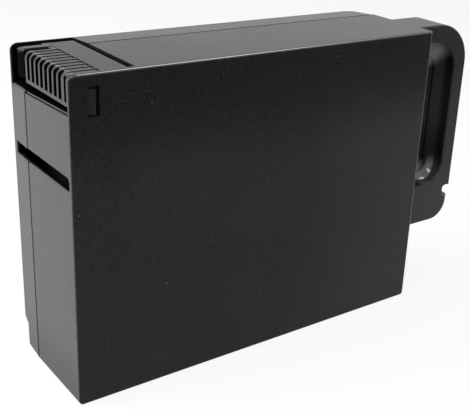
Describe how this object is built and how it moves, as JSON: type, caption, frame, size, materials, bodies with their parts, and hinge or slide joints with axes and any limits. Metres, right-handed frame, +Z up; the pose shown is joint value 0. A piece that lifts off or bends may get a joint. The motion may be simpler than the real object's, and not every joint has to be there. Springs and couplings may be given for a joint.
{
  "type": "ups battery pack",
  "caption": "Black plug-in battery pack for an uninterruptible power supply: two-piece moulded case with an end handle, a slotted corner connector and sealed batteries inside.",
  "frame": {"origin": "centre of the overall box at the base the pack stands on", "axes": "+X from the connector end to the handle, +Y from the front face to the rear cover, +Z up"},
  "size_m": [0.2656, 0.071, 0.17],
  "materials": {
    "case_plastic": "fine-textured satin black",
    "connector_plastic": "satin black",
    "contact_metal": "tin-plated",
    "bus_copper": "plain copper",
    "battery_plastic": "moulded grey",
    "tab_metal": "tin-plated",
    "boot_vinyl": "soft vinyl",
    "lead_red": "red insulation",
    "lead_black": "black insulation",
    "holder_plastic": "black",
    "fuse_metal": "plated caps",
    "foam": "closed-cell foam",
    "screw_steel": "zinc-plated"
  },
  "bodies": {
    "root": {"front_shell": "case_plastic", "rear_cover": "case_plastic", "connector_block": "connector_plastic", "contact_clips": "contact_metal", "bus_bar_positive": "bus_copper", "bus_bar_negative": "bus_copper", "battery_left": "battery_plastic", "battery_right": "battery_plastic", "positive_lead": "lead_red", "negative_lead": "lead_black", "link_lead_lower": "lead_red", "link_lead_upper": "lead_red", "fuse_holder": "holder_plastic", "cartridge_fuse": "fuse_metal", "cover_screws": "screw_steel", "tab_left_positive": "tab_metal", "boot_left_positive": "boot_vinyl", "tab_left_negative": "tab_metal", "boot_left_negative": "boot_vinyl", "tab_right_positive": "tab_metal", "boot_right_positive": "boot_vinyl", "tab_right_negative": "tab_metal", "boot_right_negative": "boot_vinyl", "boot_bus_positive": "boot_vinyl", "boot_bus_negative": "boot_vinyl", "pad_bottom": "foam", "pad_rear": "foam", "pad_end": "foam", "hold_down_left": "foam", "hold_down_right": "foam"}
  },
  "joints": []
}
